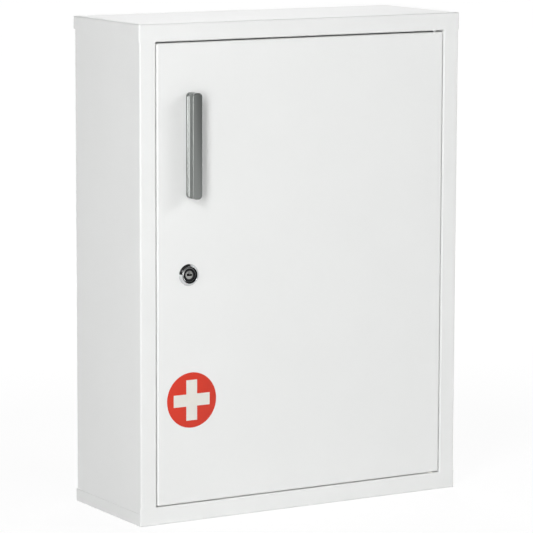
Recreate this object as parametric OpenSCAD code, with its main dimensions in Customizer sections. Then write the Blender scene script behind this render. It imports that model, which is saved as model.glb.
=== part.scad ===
// Lockable wall-hung medicine cabinet of folded and painted sheet steel.
// X runs along the width, Y from the front to the wall and Z up. The origin is the middle of the base.
// All sizes are in millimetres.

/* [Cabinet] */
// Width over the caps
cabinet_w = 375; // [330:1:600]
// Depth from the front frame to the wall
cabinet_d = 140; // [125:1:300]
// Height
cabinet_h = 500; // [480:1:800]
// Thickness of the sheet steel
sheet_t = 0.8; // [0.6:0.1:1.2]
// Outside radius of the folded edges
bend_r = 1.8; // [1.4:0.1:2.2]
// Height of the cap flanges that lap over the sides and the back
cap_flange_h = 13; // [8:0.5:15]

/* [Front frame] */
// Width of the upright frame members
stile_w = 18.8; // [15:0.1:30]
// Height of the top and bottom frame members
rail_h = 18.1; // [17:0.1:30]

/* [Door] */
// Gap on each side of the door
door_side_gap = 1; // [0.8:0.1:2]
// Gap over the door
door_top_gap = 1.5; // [1:0.1:3]
// Gap under the door
door_bottom_gap = 1; // [0.8:0.1:3]
// Depth of the door pan
door_t = 16; // [14:0.5:22]
// Width of the lips folded in behind the door
door_lip = 10; // [9.5:0.5:16]

/* [Hinge] */
// Diameter of the hinge pins
hinge_pin_d = 3; // [2.5:0.1:3.2]
// Length of each pin inside the door
pin_in_door = 12; // [8:0.5:20]
// Distance of the hinge axis from the hinge edge of the door
hinge_inset = 9; // [8.5:0.1:9.2]
// Distance of the hinge axis behind the door front
hinge_setback = 3.5; // [3.3:0.1:3.6]
// Wall of the hinge bushes
bush_wall = 0.8; // [0.6:0.1:1.2]
// Length of the hinge bushes inside the frame
bush_len = 6; // [4:0.5:10]

/* [Handle] */
// Length of the pull
handle_len = 105; // [104:0.5:120]
// Width of the pull
handle_w = 10.5; // [10:0.1:16]
// How far the pull stands out from the door
handle_out = 14.4; // [12:0.1:20]
// Distance between the two screws of the pull
handle_screw_pitch = 96; // [64:1:96]
// Corner radius of the pull, seen from the front
handle_corner_r = 4; // [2:0.1:4.8]
// Depth of the finger groove along each side of the pull
handle_groove = 2.1; // [1:0.1:2.5]
// Radius of the groove where it curves out to the foot and to the front bar
handle_groove_r = 5.4; // [4:0.1:7]
// Thickness of the foot that lies on the door
handle_foot_t = 1.2; // [1:0.1:2]
// Thickness of the front bar at its edges
handle_face_t = 2; // [1.4:0.1:3]
// Distance of the pull's middle from the lock edge of the door
handle_inset = 37.8; // [24:0.1:60]
// Height of the pull's middle above the base
handle_z = 379; // [340:1:400]

/* [Lock] */
// Diameter of the lock flange
lock_flange_d = 22; // [20.5:0.5:26]
// Thickness of the lock flange
lock_flange_t = 3; // [2.6:0.1:4]
// Diameter of the recess in the flange
lock_recess_d = 16.8; // [16:0.1:17.4]
// Diameter of the lock barrel
lock_barrel_d = 16; // [14.5:0.5:18]
// Width of the barrel across its two flats
lock_flats = 14; // [13:0.5:14.5]
// Diameter of the turning plug in the barrel
plug_d = 11; // [10.5:0.5:11.5]
// Diameter of the keyed core in the plug
core_d = 8.4; // [7.6:0.1:9]
// Distance of the lock from the lock edge of the door
lock_inset = 35.2; // [24:0.1:60]
// Height of the lock above the base
lock_z = 250; // [200:1:300]
// How far the cam reaches past the fold of the frame
cam_hook = 4.2; // [3:0.1:8]
// Width of the cam
cam_w = 13; // [11:0.5:16]
// Thickness of the cam
cam_t = 2; // [1.5:0.1:3]

/* [Shelves] */
// Distance between the slots of the uprights
slot_pitch = 20; // [16:0.5:22]
// Slot that carries the lower shelf, counted from the bottom
lower_shelf_slot = 6; // [4:1:8]
// Slot that carries the middle shelf
middle_shelf_slot = 12; // [10:1:14]
// Slot that carries the upper shelf
upper_shelf_slot = 18; // [16:1:20]
// Distance of the shelves behind the front of the cabinet
shelf_setback = 26; // [25:0.5:40]
// Gap between the shelves and the back
shelf_back_gap = 1; // [0.5:0.5:8]
// Height of the folded edges of the shelves
shelf_edge_h = 14; // [10:0.5:20]
// Gap between a shelf and the clips at each end
shelf_end_gap = 0.5; // [0.3:0.1:2]
// Width of the lip under the front and back edge of a shelf
shelf_lip = 8; // [5:0.5:12]
// Width of the slotted uprights
upright_w = 14; // [12:0.5:20]
// Depth of the slotted uprights
upright_depth = 5; // [4.5:0.5:8]
// Distance of the uprights from the front and back edge of the shelves
upright_inset = 18; // [16:0.5:30]
// Thickness of the shelf clips
clip_t = 1.2; // [0.8:0.1:1.5]
// Length of the ledge of a shelf clip
clip_ledge = 9; // [5:0.5:15]

/* [Magnetic catch] */
// Width of the catch
catch_w = 46; // [40:1:60]
// Depth of the catch
catch_depth = 12.5; // [10:0.5:16]
// Height of the catch
catch_h = 11; // [10:0.5:14]
// Distance of the catch and the buffer from the lock edge of the door
catch_inset = 60; // [34:1:110]
// Thickness of the steel strike on the door
strike_t = 1; // [0.8:0.1:2]
// Gap that is left between the closed door and its stops
stop_gap = 0.3; // [0.2:0.1:1]

/* [Wall fixing] */
// Distance between the wall holes along the width
wall_hole_x = 280; // [200:1:300]
// Distance between the wall holes along the height
wall_hole_z = 400; // [300:1:440]
// Diameter of the wall holes
wall_hole_d = 7; // [5:0.5:9]

/* [Hidden] */
$fn = 32;

// Clearances: round pieces that turn, pieces that only pass through a hole, the room past the end of
// a screw, and the overshoot of cutting bodies
turn_gap = 0.05;
pass_gap = 0.05;
tip_gap = 1;
over = 1;

// A pan head is domed over this share of its height
dome_share = 0.45;

// Planes of the cabinet
y_front = -cabinet_d / 2;
y_back_panel = cabinet_d / 2 - 2 * sheet_t;
x_side = cabinet_w / 2 - sheet_t;
x_side_in = x_side - sheet_t;
x_open = cabinet_w / 2 - stile_w;
inner_r = bend_r - sheet_t;

// The side flanges of the caps are cut away a little behind the inside of the wall, beside the front member
flange_relief = 0.1;

// Door: its size, its middle height and the plane of its back
door_w = 2 * (x_open - door_side_gap);
door_z0 = rail_h + door_bottom_gap;
door_z1 = cabinet_h - rail_h - door_top_gap;
door_h = door_z1 - door_z0;
door_zm = (door_z0 + door_z1) / 2;
y_door_back = y_front + door_t;
y_door_in = y_front + sheet_t;
x_lock_edge = -door_w / 2;

// The folds behind the upright members end a little in front of the door's back
stile_return = door_t - 1;

// Magnetic catch and buffer, and the ledge that carries them
catch_x = x_lock_edge + catch_inset;
y_stop = y_door_back + strike_t + stop_gap;
pole_proud = 0.5;
pole_depth = catch_depth - 2;
y_catch = y_stop + pole_proud;
ledge_depth = y_catch + catch_depth + 2 - y_front;
pole_t = 1.6;
pole_w = catch_w * 0.56;
pole_gap = 4.4;
catch_r = 2;
catch_screw_d = 3.4;
catch_screw_x = catch_w / 2 - 5;
catch_screw_end = 3;
screw_head_h = 2;
buffer_w = 14;
buffer_d = 10;
buffer_h = door_lip - 0.5;
strike_w = 38;
strike_h = door_lip - bend_r;
strike_r = 1.5;
strike_z = door_z1 - bend_r - strike_h / 2;
rivet_d = 3;
rivet_head_t = 1;
rivet_x = strike_w / 2 - 5;

// Hinge
hinge_x = door_w / 2 - hinge_inset;
hinge_y = y_front + hinge_setback;
bush_r = hinge_pin_d / 2 + turn_gap + bush_wall;
bush_flange_r = bush_r + 0.8;
bush_flange_t = door_bottom_gap - 0.2;
pin_in_bush = bush_len - 1;
block_w = 13;
block_d = 10;
block_r = 1.2;
block_h = pin_in_door;

// Handle
handle_x = x_lock_edge + handle_inset;
handle_screw_d = 4;
handle_screw_depth = 9;
handle_screw_head_d = 8;
handle_screw_head_t = 2.6;
handle_bevel = 0.8;

// Lock
lock_x = x_lock_edge + lock_inset;
lock_edge_r = 1.5;
lock_rim_r = lock_flange_d / 2 - lock_edge_r;
plug_face_sunk = 1.3;
plug_face_t = 0.9;
plug_ring_in = core_d / 2 + 1.2;
plug_ring_out = lock_recess_d / 2 - 1.4;
plug_ring_depth = 0.4;
core_proud = 0.5;
core_depth = 5;
core_bevel = 0.5;
nut_t = 3;
nut_flat = lock_barrel_d + 4;
barrel_end = door_t - 0.6;
cam_gap = 0.6;
cam_front = door_t + cam_gap;
cam_len = lock_inset + door_side_gap + sheet_t + cam_hook;
tenon = 7;
cam_hub_d = cam_w + 3;
cam_screw_d = 4;
cam_screw_len = 7;
cam_washer_t = 0.8;
cam_washer_d = 10;
cam_head_d = 7.5;
cam_head_t = 2.2;
keyway_w = 6;
keyway_h = 1.7;
keyway_depth = 4;

// Shelves
upright_z0 = 12;
upright_h = cabinet_h - 2 * upright_z0;
upright_t = 1;
upright_r = 1.4;
slot_w = 7;
slot_h = 5;
slot_count = floor((upright_h - slot_h) / slot_pitch);
x_upright = x_side_in - upright_depth;
clip_w = slot_w - 0.4;
clip_drop = shelf_edge_h + 1;
clip_rise = 6;
hook_gap = 0.3;
hook_leg = 3;
shelf_w = 2 * (x_upright - clip_t - shelf_end_gap);
shelf_y0 = y_front + shelf_setback;
shelf_y1 = y_back_panel - sheet_t - shelf_back_gap;
shelf_d = shelf_y1 - shelf_y0;
shelf_ym = (shelf_y0 + shelf_y1) / 2;
upright_ys = [shelf_y0 + upright_inset, shelf_y1 - upright_inset];

PAINT = [0.93, 0.94, 0.94];
ZINC = [0.72, 0.73, 0.74];
NICKEL = [0.5, 0.51, 0.51];
CHROME = [0.8, 0.81, 0.83];
BLACK = [0.09, 0.09, 0.09];
RUBBER = [0.2, 0.2, 0.2];
NYLON = [0.85, 0.85, 0.82];

// Shapes that several pieces share

// Rectangle with rounded corners, centred
module rounded_rect(w, h, r) {
    square([w - 2 * r, h], center = true);
    square([w, h - 2 * r], center = true);
    for (sx = [-1, 1], sy = [-1, 1])
        translate([sx * (w / 2 - r), sy * (h / 2 - r)]) circle(r);
}

// Block with every edge rounded, centred
module rounded_block(w, d, h, r) {
    intersection() {
        linear_extrude(h, center = true) rounded_rect(w, d, r);
        rotate([90, 0, 0]) linear_extrude(d, center = true) rounded_rect(w, h, r);
        rotate([90, 0, 90]) linear_extrude(w, center = true) rounded_rect(d, h, r);
    }
}

// Closed box of folded sheet, centred
module folded_box(w, d, h) {
    difference() {
        rounded_block(w, d, h, bend_r);
        rounded_block(w - 2 * sheet_t, d - 2 * sheet_t, h - 2 * sheet_t, inner_r);
    }
}

// Box between two corners
module box(lo, hi) {
    translate(lo) cube(hi - lo);
}

// Places a shape on the lock's axis: local +Z leaves the door towards the user, zero is the door front
module at_lock() {
    translate([lock_x, y_front, lock_z]) rotate([90, 0, 0]) children();
}

// Head and shank of a screw on local Z: the head lies under zero, the shank runs up from zero
module pan_screw(d, length, head_d, head_t) {
    dome = head_t * dome_share;
    cylinder(d = d, h = length);
    translate([0, 0, -head_t + dome]) cylinder(d = head_d, h = head_t - dome);
    translate([0, 0, -head_t]) cylinder(d1 = head_d - 2 * dome, d2 = head_d, h = dome);
}

// Cabinet shell

// Ring of sheet as high as a fold, at the lower edge of the front member of the top cap
module cap_ring(z) {
    translate([0, 0, z]) linear_extrude(bend_r) difference() {
        rounded_rect(cabinet_w, cabinet_d, bend_r);
        rounded_rect(cabinet_w - 2 * sheet_t, cabinet_d - 2 * sheet_t, inner_r);
    }
}

// Top cap as it lies over the body: plate, side and back flanges, front member and the ledge behind it.
// Over the uprights the front member stays flat down to its edge, so that the butt seams close.
module cap() {
    z_fold = cabinet_h - rail_h;
    z_flange = cabinet_h - cap_flange_h;
    x_relief = x_side_in - flange_relief;
    difference() {
        translate([0, 0, cabinet_h - rail_h / 2]) folded_box(cabinet_w, cabinet_d, rail_h);
        box([-cabinet_w, y_front + ledge_depth, z_fold - over], [cabinet_w, cabinet_d, z_flange]);
        for (s = [-1, 1])
            translate([s * (x_relief + cabinet_w / 2), cabinet_d / 2 + bend_r, (z_fold + z_flange) / 2])
                cube([cabinet_w, 2 * cabinet_d, z_flange - z_fold], center = true);
        translate([hinge_x, hinge_y, z_fold - over])
            cylinder(r = bush_r + pass_gap, h = 2 * over + sheet_t);
    }
    intersection() {
        cap_ring(z_fold);
        for (s = [-1, 1])
            translate([s * (x_open + stile_w / 2), y_front + bend_r / 2, z_fold + bend_r / 2])
                cube([stile_w, bend_r, bend_r], center = true);
    }
}

module top_cap() {
    color(PAINT) difference() {
        cap();
        for (s = [-1, 1])
            translate([catch_x + s * catch_screw_x, y_catch + catch_depth / 2, cabinet_h - rail_h - over])
                cylinder(d = catch_screw_d + 2 * pass_gap, h = 2 * over + sheet_t);
    }
}

module bottom_cap() {
    color(PAINT) translate([0, 0, cabinet_h]) mirror([0, 0, 1]) cap();
}

// Section of the left side: fold, front member, side wall and back flange
module side_section() {
    w = x_side - x_open;
    d = y_back_panel - y_front;
    difference() {
        translate([-x_side + w / 2, y_front + d / 2]) difference() {
            rounded_rect(w, d, bend_r);
            rounded_rect(w - 2 * sheet_t, d - 2 * sheet_t, inner_r);
        }
        translate([-x_open - bend_r, y_front + stile_return]) square([w, d]);
    }
}

// The side wall runs up inside the caps, the front member only fills the space between them
module side_panel() {
    translate([0, 0, bend_r]) linear_extrude(cabinet_h - 2 * bend_r) difference() {
        side_section();
        translate([-cabinet_w, y_front - over]) square([2 * cabinet_w, over + bend_r]);
        translate([-x_side_in, y_front]) square([cabinet_w, cabinet_d / 2]);
    }
    translate([0, 0, rail_h]) linear_extrude(cabinet_h - 2 * rail_h) side_section();
}

module left_side_panel() {
    color(PAINT) side_panel();
}

module right_side_panel() {
    color(PAINT) mirror([1, 0, 0]) side_panel();
}

module back_panel() {
    x_edge = x_side - bend_r;
    color(PAINT) difference() {
        box([-x_edge, y_back_panel, bend_r], [x_edge, y_back_panel + sheet_t, cabinet_h - bend_r]);
        for (sx = [-1, 1], sz = [-1, 1])
            translate([sx * wall_hole_x / 2, y_back_panel - over, cabinet_h / 2 + sz * wall_hole_z / 2])
                rotate([-90, 0, 0]) cylinder(d = wall_hole_d, h = sheet_t + 2 * over);
    }
}

// Shelves and what carries them

// Slotted channel on the left wall; y is its middle
module upright(y) {
    color(ZINC) difference() {
        translate([-x_side_in, y, upright_z0]) linear_extrude(upright_h) difference() {
            rounded_rect(2 * upright_depth, upright_w, upright_r);
            rounded_rect(2 * (upright_depth - upright_t), upright_w - 2 * upright_t, upright_r - upright_t);
            translate([-2 * upright_depth, -upright_w]) square([2 * upright_depth, 2 * upright_w]);
        }
        for (i = [1:slot_count])
            translate([-x_upright - upright_t - over, y - slot_w / 2, upright_z0 + i * slot_pitch])
                cube([upright_t + 2 * over, slot_w, slot_h]);
    }
}

module upright_left_front() {
    upright(upright_ys[0]);
}

module upright_left_rear() {
    upright(upright_ys[1]);
}

module upright_right_front() {
    mirror([1, 0, 0]) upright(upright_ys[0]);
}

module upright_right_rear() {
    mirror([1, 0, 0]) upright(upright_ys[1]);
}

// Section of a left clip, seen along Y: zero is the lower edge of its slot on the face of the upright
module clip_section() {
    hook_in = upright_t + hook_gap + clip_t;
    translate([0, -clip_drop - clip_t]) square([clip_t, clip_drop + clip_t + clip_rise]);
    translate([0, -clip_drop - clip_t]) square([clip_ledge, clip_t]);
    translate([-hook_in, 0]) square([hook_in + clip_t, clip_t]);
    translate([-hook_in, -hook_leg]) square([clip_t, hook_leg + clip_t]);
}

module shelf_clips(slot) {
    color(ZINC) for (m = [0, 1], y = upright_ys)
        mirror([m, 0, 0]) translate([-x_upright, y + clip_w / 2, upright_z0 + slot * slot_pitch])
            rotate([90, 0, 0]) linear_extrude(clip_w) clip_section();
}

// Shelf folded down on all four edges, with a lip turned in under the front and the back edge
module shelf(slot) {
    z_seat = upright_z0 + slot * slot_pitch - clip_drop;
    color(PAINT) translate([0, shelf_ym, z_seat + shelf_edge_h / 2]) difference() {
        folded_box(shelf_w, shelf_d, shelf_edge_h);
        cube_h = bend_r + over;
        translate([0, 0, -shelf_edge_h / 2 + bend_r - cube_h / 2])
            cube([shelf_w + over, shelf_d - 2 * shelf_lip, cube_h], center = true);
        for (s = [-1, 1])
            translate([s * shelf_w / 2, 0, -shelf_edge_h / 2 + bend_r - cube_h / 2])
                cube([2 * clip_ledge, shelf_d + over, cube_h], center = true);
    }
}

module lower_shelf() {
    shelf(lower_shelf_slot);
}

module middle_shelf() {
    shelf(middle_shelf_slot);
}

module upper_shelf() {
    shelf(upper_shelf_slot);
}

module lower_shelf_clips() {
    shelf_clips(lower_shelf_slot);
}

module middle_shelf_clips() {
    shelf_clips(middle_shelf_slot);
}

module upper_shelf_clips() {
    shelf_clips(upper_shelf_slot);
}

// Hinge: bushes in the two ledges, pins and blocks in the door

// Bush with its flange at zero, flattened in front of its axis at the distance flat, and its tube between
// two heights
module bush(tube_lo, tube_hi, flat) {
    color(NYLON) difference() {
        union() {
            translate([0, 0, tube_lo]) cylinder(r = bush_r, h = tube_hi - tube_lo);
            intersection() {
                cylinder(r = bush_flange_r, h = bush_flange_t);
                translate([-bush_flange_r, -flat, 0]) cube(2 * bush_flange_r);
            }
        }
        translate([0, 0, tube_lo - over])
            cylinder(r = hinge_pin_d / 2 + turn_gap, h = tube_hi - tube_lo + 2 * over);
    }
}

module hinge_bush_top() {
    translate([hinge_x, hinge_y, cabinet_h - rail_h + sheet_t])
        bush(-sheet_t, bush_len, hinge_setback - bend_r);
}

module hinge_bush_bottom() {
    translate([hinge_x, hinge_y, rail_h]) bush(-bush_len, bush_flange_t, bush_flange_r);
}

// Block welded to the inside of the door front; zero is its upper face
module hinge_block() {
    color(ZINC) difference() {
        translate([0, y_door_in - hinge_y + block_d / 2, -block_h])
            linear_extrude(block_h) rounded_rect(block_w, block_d, block_r);
        translate([0, 0, -block_h - over]) cylinder(r = hinge_pin_d / 2 + pass_gap, h = block_h + 2 * over);
    }
}

module hinge_block_top() {
    translate([hinge_x, hinge_y, door_z1 - bend_r]) hinge_block();
}

module hinge_block_bottom() {
    translate([hinge_x, hinge_y, door_z0 + bend_r + block_h]) hinge_block();
}

// Pin with rounded-off ends between two heights
module hinge_pin(lo, hi) {
    tip = 0.5;
    color(ZINC) translate([hinge_x, hinge_y, 0]) {
        translate([0, 0, lo + tip]) cylinder(d = hinge_pin_d, h = hi - lo - 2 * tip);
        translate([0, 0, lo]) cylinder(d1 = hinge_pin_d - 2 * tip, d2 = hinge_pin_d, h = tip);
        translate([0, 0, hi - tip]) cylinder(d1 = hinge_pin_d, d2 = hinge_pin_d - 2 * tip, h = tip);
    }
}

module hinge_pin_top() {
    hinge_pin(door_z1 - bend_r - pin_in_door, cabinet_h - rail_h + pin_in_bush);
}

module hinge_pin_bottom() {
    hinge_pin(rail_h - pin_in_bush, door_z0 + bend_r + pin_in_door);
}

// Door

// Outline of the barrel: a circle with two flats
module barrel_outline(gap) {
    intersection() {
        circle(d = lock_barrel_d + 2 * gap, $fn = 64);
        square([lock_flats + 2 * gap, lock_barrel_d + over], center = true);
    }
}

module door_panel() {
    cut = sheet_t + 2 * over;
    color(PAINT) difference() {
        translate([0, y_front + door_t / 2, door_zm]) folded_box(door_w, door_t, door_h);
        translate([0, y_door_back, door_zm])
            cube([door_w - 2 * door_lip, cut, door_h - 2 * door_lip], center = true);
        at_lock() translate([0, 0, -sheet_t - over]) linear_extrude(cut) barrel_outline(pass_gap);
        for (s = [-1, 1])
            translate([handle_x, y_front - over, handle_z + s * handle_screw_pitch / 2])
                rotate([-90, 0, 0]) cylinder(d = handle_screw_d + 2 * pass_gap, h = cut);
        for (z = [door_z0, door_z1])
            translate([hinge_x, hinge_y, z - cut / 2]) cylinder(r = hinge_pin_d / 2 + pass_gap, h = cut);
        for (s = [-1, 1])
            translate([catch_x + s * rivet_x, y_door_back - sheet_t - over, strike_z])
                rotate([-90, 0, 0]) cylinder(d = rivet_d + 2 * pass_gap, h = cut);
    }
}

// Groove along one side of the pull, in the plan of the pull: zero is the middle of its side on the door,
// -Y leads to the front. Two arcs join the flat bottom of the groove to the foot and to the front bar.
module handle_groove_plan() {
    chord = handle_out - handle_foot_t - handle_face_t;
    r = min(handle_groove_r, chord * chord / (8 * handle_groove) + handle_groove / 2);
    reach = sqrt(r * r - (r - handle_groove) * (r - handle_groove));
    first = -handle_foot_t - reach;
    last = -handle_out + handle_face_t + reach;
    for (y = [first, last]) translate([r - handle_groove, y]) circle(r, $fn = 96);
    translate([-handle_groove, last]) square([r, max(first - last, pass_gap)]);
}

// Pull: a bar that is rounded off at its corners and scooped out along both sides for the fingers
module handle() {
    color(NICKEL) translate([handle_x, y_front, handle_z]) difference() {
        rotate([90, 0, 0]) {
            linear_extrude(handle_out - handle_bevel) rounded_rect(handle_w, handle_len, handle_corner_r);
            translate([0, 0, handle_out - handle_bevel]) linear_extrude(handle_bevel)
                rounded_rect(handle_w - 2 * handle_bevel, handle_len - 2 * handle_bevel,
                    handle_corner_r - handle_bevel);
        }
        for (m = [0, 1])
            mirror([m, 0, 0]) translate([handle_w / 2, 0, -handle_len / 2 - over])
                linear_extrude(handle_len + 2 * over) handle_groove_plan();
        for (s = [-1, 1])
            translate([0, over, s * handle_screw_pitch / 2]) rotate([90, 0, 0])
                cylinder(d = handle_screw_d + 2 * pass_gap, h = handle_screw_depth + over);
    }
}

module handle_screws() {
    length = sheet_t + handle_screw_depth - tip_gap;
    color(ZINC) for (s = [-1, 1])
        translate([handle_x, y_door_in, handle_z + s * handle_screw_pitch / 2]) rotate([90, 0, 0])
            pan_screw(handle_screw_d, length, handle_screw_head_d, handle_screw_head_t);
}

// Lock

module lock_housing() {
    bore_r = plug_d / 2 + turn_gap;
    seat = lock_flange_t - plug_face_sunk - plug_face_t;
    color(CHROME) at_lock() difference() {
        union() {
            translate([0, 0, -barrel_end]) linear_extrude(barrel_end) barrel_outline(0);
            rotate_extrude($fn = 96) {
                square([lock_flange_d / 2, lock_flange_t - lock_edge_r]);
                square([lock_rim_r, lock_flange_t]);
                translate([lock_rim_r, lock_flange_t - lock_edge_r]) intersection() {
                    circle(lock_edge_r, $fn = 48);
                    square(lock_edge_r);
                }
            }
        }
        translate([0, 0, seat]) cylinder(d = lock_recess_d, h = lock_flange_t, $fn = 96);
        translate([0, 0, -barrel_end - over]) cylinder(r = bore_r, h = 2 * barrel_end, $fn = 64);
    }
}

module lock_nut() {
    color(ZINC) at_lock() translate([0, 0, -sheet_t - nut_t]) difference() {
        cylinder(d = nut_flat / cos(30), h = nut_t, $fn = 6);
        translate([0, 0, -over]) cylinder(d = lock_barrel_d + 2 * pass_gap, h = nut_t + 2 * over, $fn = 64);
    }
}

// Turning plug: a face in the recess, a long shank and a square tenon for the cam
module lock_plug() {
    face_z = lock_flange_t - plug_face_sunk;
    core_r = core_d / 2 + pass_gap;
    color(BLACK) at_lock() difference() {
        union() {
            translate([0, 0, face_z - plug_face_t])
                cylinder(d = lock_recess_d - 2 * turn_gap, h = plug_face_t, $fn = 96);
            translate([0, 0, -barrel_end])
                cylinder(d = plug_d, h = barrel_end + face_z - plug_face_t, $fn = 64);
            translate([-tenon / 2, -tenon / 2, -cam_front - cam_t]) cube([tenon, tenon, cam_front + cam_t]);
        }
        translate([0, 0, face_z - core_depth]) cylinder(r = core_r, h = core_depth + over, $fn = 64);
        translate([0, 0, face_z - plug_ring_depth]) difference() {
            cylinder(r = plug_ring_out, h = over, $fn = 96);
            translate([0, 0, -over]) cylinder(r = plug_ring_in, h = 3 * over, $fn = 64);
        }
        translate([0, 0, -cam_front - cam_t - over])
            cylinder(d = cam_screw_d + 2 * pass_gap, h = cam_screw_len + tip_gap + over);
    }
}

// Keyed core: a disc that stands a little proud, with a bevelled rim and the keyway across it
module lock_core() {
    face_z = lock_flange_t - plug_face_sunk + core_proud;
    length = core_depth + core_proud;
    floor_z = length - keyway_depth;
    color(CHROME) at_lock() translate([0, 0, face_z - length]) difference() {
        union() {
            cylinder(d = core_d, h = length - core_bevel, $fn = 64);
            translate([0, 0, length - core_bevel])
                cylinder(d1 = core_d, d2 = core_d - 2 * core_bevel, h = core_bevel, $fn = 64);
        }
        translate([-keyway_w / 2, -keyway_h / 2, floor_z]) cube([keyway_w, keyway_h, keyway_depth + over]);
        translate([-keyway_w / 2, -keyway_h / 2, floor_z])
            cube([keyway_w / 3, keyway_h * 1.5, keyway_depth + over]);
    }
}

// Cam: round at the plug, straight along its sides and round at its tip; it hangs down when unlocked
module lock_cam() {
    color(ZINC) at_lock() translate([0, 0, -cam_front - cam_t]) linear_extrude(cam_t) difference() {
        union() {
            circle(d = cam_hub_d, $fn = 64);
            translate([-cam_w / 2, -cam_len + cam_w / 2]) square([cam_w, cam_len - cam_w / 2]);
            translate([0, -cam_len + cam_w / 2]) circle(d = cam_w, $fn = 64);
        }
        square(tenon + 2 * pass_gap, center = true);
    }
}

module cam_washer() {
    color(ZINC) at_lock() translate([0, 0, -cam_front - cam_t - cam_washer_t]) difference() {
        cylinder(d = cam_washer_d, h = cam_washer_t);
        translate([0, 0, -over]) cylinder(d = cam_screw_d + 2 * pass_gap, h = cam_washer_t + 2 * over);
    }
}

module cam_screw() {
    color(ZINC) at_lock() translate([0, 0, -cam_front - cam_t - cam_washer_t])
        pan_screw(cam_screw_d, cam_screw_len, cam_head_d, cam_head_t);
}

// Magnetic catch under the top ledge, its strike on the door, and the buffer on the bottom ledge

// The two steel plates, made larger by gap on every side
module pole_plates(gap) {
    for (s = [-1, 1])
        translate([catch_x, y_stop + pole_depth / 2, cabinet_h - rail_h - catch_h / 2 + s * pole_gap / 2])
            cube([pole_w + 2 * gap, pole_depth + 2 * gap, pole_t + 2 * gap], center = true);
}

module catch_body() {
    z_top = cabinet_h - rail_h;
    color(NYLON) difference() {
        translate([catch_x, y_catch + catch_depth / 2, z_top - catch_h])
            linear_extrude(catch_h) rounded_rect(catch_w, catch_depth, catch_r);
        pole_plates(pass_gap);
        for (s = [-1, 1])
            translate([catch_x + s * catch_screw_x, y_catch + catch_depth / 2, z_top - catch_h - over])
                cylinder(d = catch_screw_d + 2 * pass_gap, h = catch_h + 2 * over);
    }
}

module catch_poles() {
    color(ZINC) pole_plates(0);
}

module catch_screws() {
    z_under = cabinet_h - rail_h - catch_h;
    color(ZINC) for (s = [-1, 1])
        translate([catch_x + s * catch_screw_x, y_catch + catch_depth / 2, z_under])
            pan_screw(catch_screw_d, catch_h + sheet_t + catch_screw_end, 2 * catch_screw_d, screw_head_h);
}

module door_buffer() {
    nose = buffer_w / 2;
    y_buffer = y_door_back + stop_gap;
    color(RUBBER) translate([catch_x, y_buffer, rail_h]) linear_extrude(buffer_h) {
        translate([0, nose]) intersection() {
            circle(nose, $fn = 64);
            translate([-nose, -nose]) square([2 * nose, nose]);
        }
        translate([-nose, nose]) square([2 * nose, buffer_d - nose]);
    }
}

module catch_strike() {
    color(ZINC) translate([catch_x, y_door_back + strike_t, strike_z]) rotate([90, 0, 0])
        linear_extrude(strike_t) difference() {
            rounded_rect(strike_w, strike_h, strike_r);
            for (s = [-1, 1]) translate([s * rivet_x, 0]) circle(d = rivet_d + 2 * pass_gap);
        }
}

// Rivets that hold the strike: the shank ends flush with the strike, the head lies inside the door
module strike_rivets() {
    color(ZINC) for (s = [-1, 1])
        translate([catch_x + s * rivet_x, y_door_back - sheet_t, strike_z]) rotate([-90, 0, 0]) {
            cylinder(d = rivet_d, h = sheet_t + strike_t);
            translate([0, 0, -rivet_head_t]) cylinder(d1 = rivet_d, d2 = 2 * rivet_d, h = rivet_head_t);
        }
}

left_side_panel();
right_side_panel();
back_panel();
top_cap();
bottom_cap();
upright_left_front();
upright_left_rear();
upright_right_front();
upright_right_rear();
lower_shelf();
middle_shelf();
upper_shelf();
lower_shelf_clips();
middle_shelf_clips();
upper_shelf_clips();
hinge_bush_top();
hinge_bush_bottom();
catch_body();
catch_poles();
catch_screws();
door_buffer();
door_panel();
hinge_block_top();
hinge_block_bottom();
hinge_pin_top();
hinge_pin_bottom();
handle();
handle_screws();
lock_housing();
lock_nut();
catch_strike();
strike_rivets();
lock_plug();
lock_core();
lock_cam();
cam_washer();
cam_screw();
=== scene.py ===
"""Looks of a lockable medicine cabinet: painted sheet steel, a grey pull, a cam lock and a round label."""
import math

import bpy
from bpy.props import FloatProperty, FloatVectorProperty, PointerProperty
from mathutils import Matrix, Vector


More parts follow.
